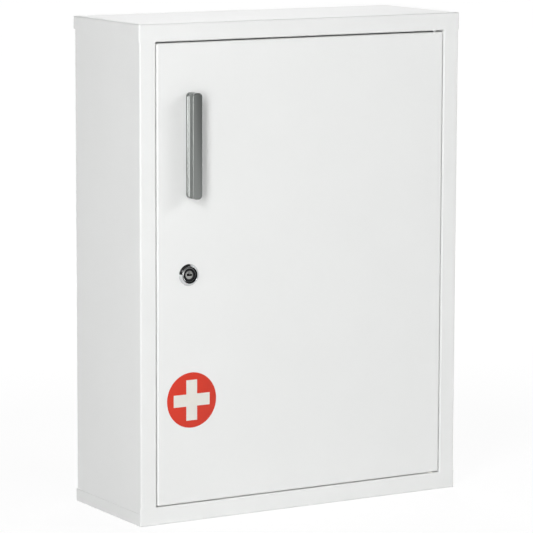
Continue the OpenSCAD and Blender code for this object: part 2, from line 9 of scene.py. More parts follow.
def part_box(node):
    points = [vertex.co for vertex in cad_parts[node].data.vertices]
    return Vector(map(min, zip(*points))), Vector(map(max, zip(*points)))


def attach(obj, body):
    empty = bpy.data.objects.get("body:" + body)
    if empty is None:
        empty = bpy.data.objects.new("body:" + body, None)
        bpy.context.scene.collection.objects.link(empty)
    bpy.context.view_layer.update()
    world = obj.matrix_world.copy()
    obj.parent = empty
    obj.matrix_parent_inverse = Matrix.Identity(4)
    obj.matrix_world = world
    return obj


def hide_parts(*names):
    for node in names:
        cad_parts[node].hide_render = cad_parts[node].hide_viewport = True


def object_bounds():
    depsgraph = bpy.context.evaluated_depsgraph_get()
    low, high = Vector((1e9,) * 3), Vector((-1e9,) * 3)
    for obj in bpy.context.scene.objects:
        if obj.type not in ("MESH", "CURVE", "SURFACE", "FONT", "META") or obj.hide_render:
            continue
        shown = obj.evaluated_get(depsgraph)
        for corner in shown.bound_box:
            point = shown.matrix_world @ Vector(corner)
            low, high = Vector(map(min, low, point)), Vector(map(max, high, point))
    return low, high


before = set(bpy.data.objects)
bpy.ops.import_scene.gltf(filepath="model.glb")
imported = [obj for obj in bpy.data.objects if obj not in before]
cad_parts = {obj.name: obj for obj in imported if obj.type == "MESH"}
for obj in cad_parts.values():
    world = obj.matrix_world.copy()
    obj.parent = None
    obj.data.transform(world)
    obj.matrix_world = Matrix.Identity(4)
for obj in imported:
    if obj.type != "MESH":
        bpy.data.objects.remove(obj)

bl_info = {
    "name": "Lockable medicine cabinet",
    "version": (1, 0, 0),
    "blender": (4, 5, 0),
    "location": "View3D > Sidebar > Cabinet",
    "description": "Finishes, fasteners, lock, label and studio of a lockable medicine cabinet",
    "category": "Add Mesh",
}

MM = 0.001
CAD_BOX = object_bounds()

# Planes, axes and heights over the door's front that the pieces take from the frame
DOOR_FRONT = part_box("door_panel")[0].y
LOCK_LOW, LOCK_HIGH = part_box("lock_housing")
LOCK_AXIS = Vector(((LOCK_LOW.x + LOCK_HIGH.x) / 2, DOOR_FRONT, (LOCK_LOW.z + LOCK_HIGH.z) / 2))
FLANGE_TOP = DOOR_FRONT - LOCK_LOW.y
BARREL_END = DOOR_FRONT - LOCK_HIGH.y

# The lock inside its flange, as in the construction: barrel, its width over the flats, core, tenon and keyway
BARREL_RADIUS = 8 * MM
BARREL_FLATS = 14 * MM
CORE_RADIUS = 4.25 * MM
CORE_DEPTH = 5 * MM
TENON = 7 * MM
KEYWAY = (6 * MM, 1.7 * MM)

# Face of the plug: radii of its boss, groove, land and bright slope, and how deep its groove and slope go
BOSS = 5.4 * MM
GROOVE = (5.6 * MM, 6.1 * MM)
LAND = (6.3 * MM, 6.7 * MM)
SLOPE = 7.2 * MM
STEP = 0.4 * MM

# Edges that the tools leave on the lock, and the play between its parts
FINE_EDGE = 0.1 * MM
LIP_EDGE = 0.15 * MM
SHANK_EDGE = 0.2 * MM
RIM_EDGE = 0.25 * MM
BARREL_EDGE = 0.3 * MM
PLAY = 0.05 * MM

# How far the flange's rim and its cone stay under their set heights, and where the barrel's flats and threads
# start behind the door's front
RIM_DROP = 0.05 * MM
CONE_DROP = 0.02 * MM
FLATS_START = -0.01 * MM
THREAD_START = -1 * MM

# Pull: its broken edges and the angle from which an edge is broken, the band beside the round edge of its
# front, the columns of half its front, and where its long faces are cut across, from its ends and corners
PULL_EDGE = 0.15 * MM
PULL_SHARP = math.radians(35)
PULL_BAND = 0.3 * MM
PULL_COLUMNS = 8
PULL_CUTS = (1.2 * MM, 0.4 * MM)

# Screws: height of the head and width of the shank
PULL_SCREW = (2.6 * MM, 4 * MM)
CATCH_SCREW = (2 * MM, 3.4 * MM)
CAM_SCREW = (2.2 * MM, 4 * MM)

# Screw heads: radius of the dome as a share of a ball's, and the share of the height that is upright
HEAD_FLATNESS = 1.15
HEAD_RIM = 0.35

# Cross recesses: half an arm's width and its length as shares of the head's width, the depth as a share of
# the head's height, and what is left of the cross at its bottom
RECESS_ARM = 0.085
RECESS_REACH = 0.2
RECESS_DEPTH = 0.6
RECESS_TAPER = 0.5

# Screw shanks: pitch, plain neck and tip, then as shares of the width the thread's depth and the tip's width
SCREW_PITCH = 0.7 * MM
SCREW_NECK = 0.6 * MM
SCREW_TIP = 0.4 * MM
SCREW_THREAD = 0.12
SCREW_POINT = 0.3

# Nut: share of its flats that its turned face reaches, depth of its turned corners, and edge of its bore
NUT_FACE = 0.97
NUT_CORNER = 0.6 * MM
NUT_EDGE = 0.4 * MM

# Shares of a thread's pitch between which its crest lies, and the straight parts of which a dome is made
CREST = (0.4, 0.6)
DOME_PARTS = 8

# Floor: its size, and how far it lies under the cabinet
FLOOR_SIZE = 60
FLOOR_DROP = 0.2 * MM

# Middle of the cabinet, at which the lamps point
AIM = (CAD_BOX[0] + CAD_BOX[1]) / 2

# Each lamp's setting for its power, its width and height, and its azimuth in degrees, distance and height
LAMPS = {
    "Key lamp": ("key", (0.6, 1.9), (-48, 2.4, 0.97)),
    "Side lamp": ("side", (0.28, 0.3), (-79, 1.3, 0.25)),
    "Front lamp": ("front", (1.2, 1.7), (-5, 3.0, 1.2)),
    "Fill lamp": ("fill", (1.2, 1.2), (56, 3.0, 1.5)),
    "Top lamp": ("top", (0.7, 0.7), (150, 1.2, 1.3)),
}

# Place of the camera in metres, and its turns in radians: to the right, down, and anticlockwise
CAMERA_PLACE = (-1.628115, -2.747559, 0.714676)
CAMERA_YAW = 0.53458
CAMERA_PITCH = 0.14766
CAMERA_ROLL = 0.00302
SENSOR_WIDTH = 36

# Angle up to which neighbouring faces are shaded as one, and the share of its normal with which a face
# counts as facing a way
SMOOTH_ANGLE = math.radians(30)
FACING = 0.99

# The four ways in which a cross reaches out, seen from the front
FOUR_WAYS = (Vector((1, 0, 0)), Vector((-1, 0, 0)), Vector((0, 0, 1)), Vector((0, 0, -1)))

# Points closer than the first are one point, and places closer than the second along an axis are in line
WELD = 1e-6
IN_LINE = 0.05 * MM

# Sockets of a Mix node that mixes colours
MIX_FACTOR, MIX_A, MIX_B, MIX_RESULT = 0, 6, 7, 2


def linear(code):
    """A colour written as an sRGB hex code, as the linear colour that shaders use."""
    channels = [int(code[i:i + 2], 16) / 255 for i in (1, 3, 5)]
    return (*[c / 12.92 if c <= 0.04045 else ((c + 0.055) / 1.055) ** 2.4 for c in channels], 1.0)


def node(tree, kind, inputs=None, **settings):
    """Adds a node, sets it, and gives each of its inputs a value or a link from another node's output."""
    made = tree.nodes.new(kind)
    for name, value in settings.items():
        setattr(made, name, value)
    for key, value in (inputs or {}).items():
        if isinstance(value, bpy.types.NodeSocket):
            tree.links.new(value, made.inputs[key])
        else:
            made.inputs[key].default_value = value
    return made


class FinishSettings(bpy.types.PropertyGroup):
    coat: FloatVectorProperty(name="Powder coat", description="Colour of the painted sheet steel",
                              default=linear("#EDEEED"), size=4, subtype="COLOR", min=0, max=1)
    pull: FloatVectorProperty(name="Pull", description="Colour of the pull's anodised metal",
                              default=linear("#858886"), size=4, subtype="COLOR", min=0, max=1)
    red: FloatVectorProperty(name="Label red", description="Colour of the label's disc",
                             default=linear("#D3331C"), size=4, subtype="COLOR", min=0, max=1)
    white: FloatVectorProperty(name="Label white", description="Colour of the label's cross",
                               default=linear("#E5E3DC"), size=4, subtype="COLOR", min=0, max=1)


def length(name, description, default, low, high):
    """A length that a user may change, given in millimetres."""
    return FloatProperty(name=name, description=description, default=default * MM, min=low * MM,
                         max=high * MM, subtype="DISTANCE", unit="LENGTH", precision=4)


class PullSettings(bpy.types.PropertyGroup):
    corner: length("Corner", "Radius of the pull's corners, seen from the front", 4, 2, 5)
    groove: length("Groove", "Depth of the finger groove along each side", 2.1, 1, 3)
    groove_radius: length("Groove radius", "Radius of the groove beside the foot and the bar", 5.4, 4, 8)
    foot: length("Foot", "Thickness of the foot that lies on the door", 2.7, 0.8, 3)
    bar: length("Bar", "Thickness of the front bar at its edges", 2, 1, 4)
    crown: length("Crown", "Rise of the front face over its edges", 0.3, 0.05, 1)
    edge: length("Edge", "Radius of the edges of the front face", 0.5, 0.2, 0.9)


class LockSettings(bpy.types.PropertyGroup):
    lip: length("Lip", "Width of the bright lip round the recess", 0.4, 0.3, 1)
    rim: length("Rim", "Height of the flange's upright rim over the door", 0.6, 0.4, 1.2)
    collar: length("Collar", "Height over the door at which the cone ends and the lip rises", 2.8, 2, 3)
    recess: length("Recess", "Radius of the recess for the plug's face", 8.4, 8, 8.6)
    seat: length("Seat", "Height of the recess's floor over the door", 0.8, 0.5, 1)
    bore: length("Bore", "Radius of the bore for the plug", 5.55, 5.3, 5.8)
    dome: length("Core dome", "Rise of the core's domed face over its rim", 0.8, 0.1, 1)
    pitch: length("Thread pitch", "Distance between the threads of the barrel", 1, 0.5, 1.5)
    thread: length("Thread depth", "Depth of the threads", 0.45, 0.2, 0.6)


class LabelSettings(bpy.types.PropertyGroup):
    diameter: length("Diameter", "Diameter of the label", 56, 20, 90)
    from_side: length("From the side", "Distance of its middle from the cabinet's left side", 58.4, 50, 300)
    height: length("Height", "Height of its middle over the cabinet's base", 123.5, 50, 200)
    arm_span: length("Span of the cross", "Length of the cross from tip to tip", 41, 10, 60)
    arm_width: length("Width of the arms", "Width of the four arms of the cross", 12.3, 4, 20)
    film: length("Film", "Thickness of the label's vinyl film", 0.15, 0.05, 0.5)


class StudioSettings(bpy.types.PropertyGroup):
    lens: FloatProperty(name="Lens", description="Focal length of the camera, in millimetres",
                        default=211.34, min=50, max=400)
    key: FloatProperty(name="Key lamp", description="Power of the tall lamp at the left, in watts",
                       default=41, min=0, max=500)
    side: FloatProperty(name="Side lamp", description="Power of the low lamp that the pull mirrors, in watts",
                        default=1.15, min=0, max=50)
    front: FloatProperty(name="Front lamp", description="Power of the lamp in front of the door, in watts",
                         default=13, min=0, max=500)
    fill: FloatProperty(name="Fill lamp", description="Power of the lamp at the right, in watts",
                        default=33, min=0, max=500)
    top: FloatProperty(name="Top lamp", description="Power of the lamp over and behind the cabinet, in watts",
                       default=8, min=0, max=500)
    surround: FloatProperty(name="Surround", description="Light level of the room in front of the cabinet",
                            default=0.03, min=0, max=1)
    backdrop: FloatProperty(name="Backdrop", description="Light level of the room behind the cabinet",
                            default=0.02, min=0, max=1)
    bounce: FloatProperty(name="Bounce", description="Light that the floor adds of its own",
                          default=0.02, min=0, max=1)


def bare_material(name, colour, **constants):
    """A new material with its constants on the shader's own sockets, and coordinates for its patterns."""
    made = bpy.data.materials.new(name)
    made.use_nodes = True
    shader = made.node_tree.nodes["Principled BSDF"]
    shader.inputs["Base Color"].default_value = colour
    for socket, value in constants.items():
        shader.inputs[socket.replace("_", " ")].default_value = value
    place = node(made.node_tree, "ShaderNodeTexCoord").outputs["Object"]
    return made, made.node_tree, shader, place


def shade(colour, factor):
    """The same colour, lighter or darker."""
    return (*[min(1.0, c * factor) for c in colour[:3]], 1.0)


def link_skin(tree, shader, relief, tint=None, gloss=None):
    """Leads the ends of a material's patterns to the shader."""
    for end, output, socket in ((tint, MIX_RESULT, "Base Color"), (gloss, "Result", "Roughness"),
                                (relief, "Normal", "Normal")):
        if end:
            tree.links.new(end.outputs[output], shader.inputs[socket])


def powder_coat(colour):
    # Polyester powder on folded sheet steel, sprayed dry and baked: a closed satin film of even colour, whose
    # slow waves (orange peel, 3 mm apart) and fine grain (0.5 mm) only show in reflections
    made, tree, shader, place = bare_material("White_powder_coat", colour, Roughness=0.36, IOR=1.5)
    cloud = node(tree, "ShaderNodeTexNoise", {"Vector": place, "Scale": 1 / (60 * MM), "Detail": 2.0})
    tint = node(tree, "ShaderNodeMix", {MIX_FACTOR: cloud.outputs["Fac"], MIX_A: shade(colour, 0.985),
                                        MIX_B: shade(colour, 1.01)}, data_type="RGBA")
    peel = node(tree, "ShaderNodeTexNoise", {"Vector": place, "Scale": 1 / (3 * MM), "Detail": 1.0})
    grain = node(tree, "ShaderNodeTexNoise", {"Vector": place, "Scale": 1 / (0.5 * MM), "Detail": 1.0})
    waves = node(tree, "ShaderNodeBump", {"Height": peel.outputs["Fac"], "Distance": 0.02 * MM})
    fine = node(tree, "ShaderNodeBump", {"Height": grain.outputs["Fac"], "Distance": 0.002 * MM,
                                         "Normal": waves.outputs["Normal"]})
    gloss = node(tree, "ShaderNodeMapRange", {"Value": grain.outputs["Fac"], "To Min": 0.33, "To Max": 0.4})
    link_skin(tree, shader, fine, tint, gloss)
    return made


def zinc_plate():
    # Steel, barrel plated with zinc and passivated blue: a bright grey skin, cloudy and faintly bluish
    colour = linear("#BFC3C6")
    made, tree, shader, place = bare_material("Blue_passivated_zinc", colour, Metallic=1.0, Roughness=0.34)
    cloud = node(tree, "ShaderNodeTexNoise", {"Vector": place, "Scale": 1 / (4 * MM), "Detail": 3.0})
    tint = node(tree, "ShaderNodeMix", {MIX_FACTOR: cloud.outputs["Fac"], MIX_A: linear("#B3B8BF"),
                                        MIX_B: linear("#CBCBC6")}, data_type="RGBA")
    skin = node(tree, "ShaderNodeTexNoise", {"Vector": place, "Scale": 1 / (0.4 * MM), "Detail": 2.0})
    gloss = node(tree, "ShaderNodeMapRange", {"Value": skin.outputs["Fac"], "To Min": 0.26, "To Max": 0.44})
    bump = node(tree, "ShaderNodeBump", {"Height": skin.outputs["Fac"], "Distance": 0.004 * MM})
    link_skin(tree, shader, bump, tint, gloss)
    return made


def anodised_aluminium(colour):
    # Extruded aluminium, polished and anodised grey: a soft mirror with faint die lines 0.25 mm apart that
    # run along its length
    lines, run = 0.25 * MM, 40 * MM
    made, tree, shader, place = bare_material("Grey_anodised_aluminium", colour, Metallic=1.0, Roughness=0.15)
    along = node(tree, "ShaderNodeMapping", {"Vector": place, "Scale": (1 / lines, 1 / lines, 1 / run)})
    hair = node(tree, "ShaderNodeTexNoise", {"Vector": along.outputs["Vector"], "Scale": 1.0, "Detail": 2.0})
    tint = node(tree, "ShaderNodeMix", {MIX_FACTOR: hair.outputs["Fac"], MIX_A: shade(colour, 0.95),
                                        MIX_B: shade(colour, 1.05)}, data_type="RGBA")
    gloss = node(tree, "ShaderNodeMapRange", {"Value": hair.outputs["Fac"], "To Min": 0.12, "To Max": 0.18})
    bump = node(tree, "ShaderNodeBump", {"Height": hair.outputs["Fac"], "Distance": 0.0015 * MM})
    link_skin(tree, shader, bump, tint, gloss)
    return made


def chrome_plate():
    # Zinc die casting, polished and chrome plated: a mirror with a trace of buffing marks
    made, tree, shader, place = bare_material("Bright_chrome_plate", linear("#CFD1D2"), Metallic=1.0,
                                              Roughness=0.09)
    haze = node(tree, "ShaderNodeTexNoise", {"Vector": place, "Scale": 1 / (0.8 * MM), "Detail": 3.0})
    gloss = node(tree, "ShaderNodeMapRange", {"Value": haze.outputs["Fac"], "To Min": 0.05, "To Max": 0.14})
    bump = node(tree, "ShaderNodeBump", {"Height": haze.outputs["Fac"], "Distance": 0.002 * MM})
    link_skin(tree, shader, bump, gloss=gloss)
    return made


def worn_nickel():
    # Brass, nickel plated, dulled by years of keys: blotchy in patches of 0.5 mm
    made, tree, shader, place = bare_material("Worn_nickel_plate", linear("#A0A19E"), Metallic=1.0,
                                              Roughness=0.3)
    wear = node(tree, "ShaderNodeTexNoise", {"Vector": place, "Scale": 1 / (0.5 * MM), "Detail": 4.0})
    tint = node(tree, "ShaderNodeMix", {MIX_FACTOR: wear.outputs["Fac"], MIX_A: linear("#8C8C89"),
                                        MIX_B: linear("#B4B5B3")}, data_type="RGBA")
    gloss = node(tree, "ShaderNodeMapRange", {"Value": wear.outputs["Fac"], "To Min": 0.2, "To Max": 0.4})
    bump = node(tree, "ShaderNodeBump", {"Height": wear.outputs["Fac"], "Distance": 0.01 * MM})
    link_skin(tree, shader, bump, tint, gloss)
    return made


def black_plug_and_keyway_shade():
    # Zinc die casting, turned and blackened: near black, with turning marks round the lock's axis, which
    # are drawn 2.2 mm apart so that they show. The wave texture runs through 20 radians to a unit
    # The same near black also lies on the walls of the core's keyway, as painted shade in the slot
    radian = 0.35 * MM
    made, tree, shader, place = bare_material("Blackened_zinc_casting", linear("#222325"), Metallic=0.7,
                                              Roughness=0.25)
    centred = node(tree, "ShaderNodeMapping", {"Vector": place,
                                               "Location": (-LOCK_AXIS.x, 0.0, -LOCK_AXIS.z)})
    rings = node(tree, "ShaderNodeTexWave", {"Vector": centred.outputs["Vector"],
                                             "Scale": 1 / radian / 20, "Distortion": 0.4},
                 wave_type="RINGS", rings_direction="Y")
    bump = node(tree, "ShaderNodeBump", {"Height": rings.outputs["Fac"], "Distance": 0.01 * MM})
    gloss = node(tree, "ShaderNodeMapRange", {"Value": rings.outputs["Fac"], "To Min": 0.17, "To Max": 0.27})
    link_skin(tree, shader, bump, gloss=gloss)
    return made


def moulded_nylon():
    # Natural nylon, injection moulded: milky, light under the skin, and the mould's fine spark texture
    made, tree, shader, place = bare_material("Moulded_nylon", linear("#E6E5DE"), Roughness=0.42, IOR=1.53,
                                              Subsurface_Weight=0.12)
    shader.inputs["Subsurface Radius"].default_value = (1.2 * MM, 1.1 * MM, 0.9 * MM)
    shader.inputs["Subsurface Scale"].default_value = 1.0
    spark = node(tree, "ShaderNodeTexNoise", {"Vector": place, "Scale": 1 / (0.3 * MM), "Detail": 2.0})
    gloss = node(tree, "ShaderNodeMapRange", {"Value": spark.outputs["Fac"], "To Min": 0.36, "To Max": 0.5})
    bump = node(tree, "ShaderNodeBump", {"Height": spark.outputs["Fac"], "Distance": 0.01 * MM})
    link_skin(tree, shader, bump, gloss=gloss)
    return made


def moulded_rubber():
    # Black nitrile rubber, pressure moulded: matt, with a dusty bloom in patches
    made, tree, shader, place = bare_material("Black_moulded_rubber", linear("#262626"), Roughness=0.72,
                                              IOR=1.52)
    bloom = node(tree, "ShaderNodeTexNoise", {"Vector": place, "Scale": 1 / (5 * MM), "Detail": 4.0})
    tint = node(tree, "ShaderNodeMix", {MIX_FACTOR: bloom.outputs["Fac"], MIX_A: linear("#1E1E1E"),
                                        MIX_B: linear("#343433")}, data_type="RGBA")
    skin = node(tree, "ShaderNodeTexNoise", {"Vector": place, "Scale": 1 / (0.4 * MM), "Detail": 2.0})
    bump = node(tree, "ShaderNodeBump", {"Height": skin.outputs["Fac"], "Distance": 0.02 * MM})
    link_skin(tree, shader, bump, tint)
    return made


def printed_vinyl(name, colour):
    # Calendered vinyl film, printed in one solid colour and laid on the paint, whose waves it follows
    made, tree, shader, place = bare_material(name, colour, Roughness=0.46, IOR=1.46)
    cloud = node(tree, "ShaderNodeTexNoise", {"Vector": place, "Scale": 1 / (7 * MM), "Detail": 3.0})
    tint = node(tree, "ShaderNodeMix", {MIX_FACTOR: cloud.outputs["Fac"], MIX_A: shade(colour, 0.96),
                                        MIX_B: shade(colour, 1.03)}, data_type="RGBA")
    peel = node(tree, "ShaderNodeTexNoise", {"Vector": place, "Scale": 1 / (3 * MM), "Detail": 1.0})
    bump = node(tree, "ShaderNodeBump", {"Height": peel.outputs["Fac"], "Distance": 0.012 * MM})
    link_skin(tree, shader, bump, tint)
    return made


def put_on(material, *names):
    """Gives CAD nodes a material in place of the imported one."""
    for name in names:
        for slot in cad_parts[name].material_slots:
            slot.material = material


def select_faces(piece, wanted):
    """Selects, in edit mode, the faces of a piece that pass a test."""
    bpy.ops.object.mode_set(mode="EDIT")
    bpy.ops.mesh.select_mode(type="FACE")
    bpy.ops.mesh.select_all(action="DESELECT")
    bpy.ops.object.mode_set(mode="OBJECT")
    for face in piece.data.polygons:
        face.select = wanted(face)
    bpy.ops.object.mode_set(mode="EDIT")


def select_edges(piece, wanted):
    """Selects, in edit mode, the edges whose two ends pass a test."""
    bpy.ops.object.mode_set(mode="EDIT")
    bpy.ops.mesh.select_mode(type="EDGE")
    bpy.ops.mesh.select_all(action="DESELECT")
    bpy.ops.object.mode_set(mode="OBJECT")
    corners = piece.data.vertices
    for edge in piece.data.edges:
        a, b = (corners[i].co for i in edge.vertices)
        edge.select = wanted(a, b)
    for face in piece.data.polygons:
        face.select = False
    bpy.ops.object.mode_set(mode="EDIT")


def deselect():
    """Leaves nothing selected, so that the next operator acts on its own piece."""
    if bpy.context.object and bpy.context.object.mode != "OBJECT":
        bpy.ops.object.mode_set(mode="OBJECT")
    bpy.ops.object.select_all(action="DESELECT")


def start_piece(name, add, **settings):
    """Adds a primitive as a new piece, with its place, turn and scale in its mesh."""
    deselect()
    add(**settings)
    piece = bpy.context.object
    piece.name = name
    piece.data.name = name
    bpy.ops.object.transform_apply(location=True, rotation=True, scale=True)
    return piece


def apply_modifier(piece, kind, **settings):
    """Gives the active piece a modifier and applies it."""
    made = piece.modifiers.new(kind.title(), kind)
    for name, value in settings.items():
        setattr(made, name, value)
    bpy.ops.object.modifier_apply(modifier=made.name)


def cut(piece, tool, operation="DIFFERENCE"):
    """Cuts a piece with a tool, joins the two or keeps what they share, and deletes the tool."""
    deselect()
    bpy.context.view_layer.objects.active = piece
    piece.select_set(True)
    apply_modifier(piece, "BOOLEAN", operation=operation, solver="EXACT", object=tool)
    bpy.data.objects.remove(tool)


def turned(name, outline, closed=True, steps=96):
    """Draws an outline point by point and spins it round the Y axis. A point is a radius and a height
    towards the user; an outline that isn't closed starts and ends on the axis."""
    points = [*outline, outline[0]] if closed else outline
    piece = start_piece(name, bpy.ops.mesh.primitive_plane_add, size=MM,
                        location=(points[0][0], -points[0][1], 0))
    bpy.ops.object.mode_set(mode="EDIT")
    bpy.ops.mesh.select_mode(type="VERT")
    bpy.ops.mesh.select_all(action="SELECT")
    bpy.ops.mesh.merge(type="CENTER")
    for (r0, h0), (r1, h1) in zip(points, points[1:]):
        bpy.ops.mesh.extrude_region_move(TRANSFORM_OT_translate={"value": (r1 - r0, h0 - h1, 0)})
    bpy.ops.mesh.select_all(action="SELECT")
    bpy.ops.mesh.remove_doubles(threshold=WELD)
    bpy.ops.mesh.spin(steps=steps, angle=2 * math.pi, center=(0, 0, 0), axis=(0, 1, 0))
    bpy.ops.mesh.select_all(action="SELECT")
    bpy.ops.mesh.remove_doubles(threshold=WELD)
    bpy.ops.mesh.normals_make_consistent(inside=False)
    bpy.ops.object.mode_set(mode="OBJECT")
    return piece


def arc(radius, height, size, start, end, parts):
    """Points of a round stretch of an outline, between two angles in degrees, anticlockwise from outwards."""
    angles = [math.radians(start + (end - start) * i / parts) for i in range(parts + 1)]
    return [(radius + size * math.cos(a), height + size * math.sin(a)) for a in angles]


def threads(radius, depth, pitch, low, high):
    """Outline of a threaded stretch, from its high end to its low end."""
    count = int((high - low) / pitch)
    points = []
    for i in range(count):
        top = high - i * pitch
        points += [(radius - depth, top), (radius, top - pitch * CREST[0]), (radius, top - pitch * CREST[1])]
    return [*points, (radius - depth, high - count * pitch)]


def place_copies(piece, places, turn=(0, 0, 0)):
    """Sets a piece, and a copy of it for each further place, where they belong, and joins them."""
    deselect()
    copies = [piece]
    for _ in places[1:]:
        copy = piece.copy()
        copy.data = piece.data.copy()
        bpy.context.collection.objects.link(copy)
        copies.append(copy)
    for copy, place in zip(copies, places):
        copy.location = place
        copy.rotation_euler = turn
        copy.select_set(True)
    bpy.context.view_layer.objects.active = piece
    bpy.ops.object.transform_apply(location=True, rotation=True, scale=True)
    if len(copies) > 1:
        bpy.ops.object.join()


def finish_piece(piece, body, material):
    """Finishes a piece: normals outwards, smooth shading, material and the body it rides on."""
    deselect()
    bpy.context.view_layer.objects.active = piece
    piece.select_set(True)
    bpy.ops.object.mode_set(mode="EDIT")
    bpy.ops.mesh.select_all(action="SELECT")
    bpy.ops.mesh.normals_make_consistent(inside=False)
    bpy.ops.object.mode_set(mode="OBJECT")
    bpy.ops.object.shade_smooth_by_angle(angle=SMOOTH_ANGLE)
    piece.data.materials.clear()
    piece.data.materials.append(material)
    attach(piece, body)


def paint_faces(piece, material, wanted):
    """Gives the faces of a piece that pass a test a second material."""
    piece.data.materials.append(material)
    select_faces(piece, wanted)
    piece.active_material_index = 1
    bpy.ops.object.material_slot_assign()
    bpy.ops.object.mode_set(mode="OBJECT")


class CABINET_OT_sheet_metal(bpy.types.Operator):
    """Coats the folded sheets: sides, caps, back, shelves and door"""
    bl_idname = "cabinet.sheet_metal"
    bl_label = "Painted sheet metal"

    def execute(self, context):
        coat = powder_coat(context.scene.cabinet_finish.coat)
        put_on(coat, "left_side_panel", "right_side_panel", "back_panel", "top_cap", "bottom_cap",
               "lower_shelf", "middle_shelf", "upper_shelf", "door_panel")
        return {"FINISHED"}


class CABINET_OT_hardware(bpy.types.Operator):
    """Finishes the plated, moulded and rubber hardware"""
    bl_idname = "cabinet.hardware"
    bl_label = "Hardware"

    def execute(self, context):
        put_on(zinc_plate(), "upright_left_front", "upright_left_rear", "upright_right_front",
               "upright_right_rear", "lower_shelf_clips", "middle_shelf_clips", "upper_shelf_clips",
               "catch_poles", "hinge_block_top", "hinge_block_bottom", "hinge_pin_top", "hinge_pin_bottom",
               "catch_strike", "strike_rivets", "lock_cam", "cam_washer")
        put_on(moulded_nylon(), "hinge_bush_top", "hinge_bush_bottom", "catch_body")
        put_on(moulded_rubber(), "door_buffer")
        return {"FINISHED"}


def near(a, b):
    """Whether two places along an axis are the same, but for rounding."""
    return abs(a - b) < IN_LINE


def groove_tool(side, middle, low, high, pull):
    """Cutter for the groove along one side of the pull, longer than it: two arcs that a flat joins."""
    half = (high.x - low.x) / 2
    reach = math.sqrt(pull.groove_radius ** 2 - (pull.groove_radius - pull.groove) ** 2)
    first, last = high.y - pull.foot - reach, low.y + pull.bar + reach
    centre, spread = (first + last) / 2, (first - last) / 2
    axis = middle.x + side * (half + pull.groove_radius - pull.groove)
    tool = start_piece("groove_tool", bpy.ops.mesh.primitive_cylinder_add, vertices=72,
                       radius=pull.groove_radius, depth=1.2 * (high.z - low.z),
                       location=(axis, centre, middle.z))
    for way in (-1, 1):
        select_faces(tool, lambda face: way * (face.center.y - centre) > WELD and abs(face.normal.z) < 0.5)
        bpy.ops.transform.translate(value=(0, way * spread, 0))
    bpy.ops.object.mode_set(mode="OBJECT")
    return tool


class CABINET_OT_pull(bpy.types.Operator):
    """Models the pull: a bar with round corners, a groove along each side and a crowned front"""
    bl_idname = "cabinet.pull"
    bl_label = "Pull"

    def execute(self, context):
        pull = context.scene.cabinet_pull
        low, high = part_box("handle")
        middle = (low + high) / 2
        size = high - low
        half = size.x / 2
        bar = start_piece("pull_bar", bpy.ops.mesh.primitive_cube_add, size=1, location=middle, scale=size)
        select_edges(bar, lambda a, b: near(a.x, b.x) and near(a.z, b.z))
        bpy.ops.mesh.bevel(offset=pull.corner, segments=12)
        bpy.ops.object.mode_set(mode="OBJECT")
        select_edges(bar, lambda a, b: near(a.y, low.y) and near(b.y, low.y))
        bpy.ops.mesh.bevel(offset=pull.edge, segments=5)
        select_faces(bar, lambda face: face.normal.y < -FACING)
        bpy.ops.mesh.inset(thickness=PULL_BAND)

        # The front is split into columns, which then fall back towards the sides as a crown
        for i in range(1 - PULL_COLUMNS, PULL_COLUMNS):
            bpy.ops.mesh.select_all(action="SELECT")
            bpy.ops.mesh.bisect(plane_co=(middle.x + half * i / PULL_COLUMNS, 0, 0), plane_no=(1, 0, 0))
        bpy.ops.object.mode_set(mode="OBJECT")
        for corner in bar.data.vertices:
            if corner.co.y < low.y + pull.bar / 2:
                corner.co.y += pull.crown * ((corner.co.x - middle.x) / half) ** 2
        for side in (-1, 1):
            cut(bar, groove_tool(side, middle, low, high, pull))
        apply_modifier(bar, "BEVEL", width=PULL_EDGE, segments=2, limit_method="ANGLE",
                       angle_limit=PULL_SHARP)

        # Two cuts near each end keep the shading of the long faces straight, where the round ends begin
        bpy.ops.object.mode_set(mode="EDIT")
        for way in (-1, 1):
            for inset in (PULL_CUTS[0], pull.corner + PULL_CUTS[1]):
                bpy.ops.mesh.select_all(action="SELECT")
                bpy.ops.mesh.bisect(plane_co=(0, 0, middle.z + way * (size.z / 2 - inset)),
                                    plane_no=(0, 0, 1))
        bpy.ops.object.mode_set(mode="OBJECT")
        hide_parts("handle")
        finish_piece(bar, "door", anodised_aluminium(context.scene.cabinet_finish.pull))
        return {"FINISHED"}


def barrel_flats(piece, radius):
    """Flattens the left and the right of the barrel, with tools that pass its end and the flange's rim."""
    low, high = BARREL_END - MM, FLATS_START
    depth = radius - BARREL_FLATS / 2 + MM
    for side in (-1, 1):
        cut(piece, start_piece("flat_tool", bpy.ops.mesh.primitive_cube_add, size=1,
                               location=(side * (BARREL_FLATS / 2 + depth / 2), -(low + high) / 2, 0),
                               scale=(depth, high - low, 2 * radius)))


def from_axis(face):
    """Distance of the middle of a face from the lock's axis."""
    return (face.center - LOCK_AXIS).cross(Vector((0, 1, 0))).length


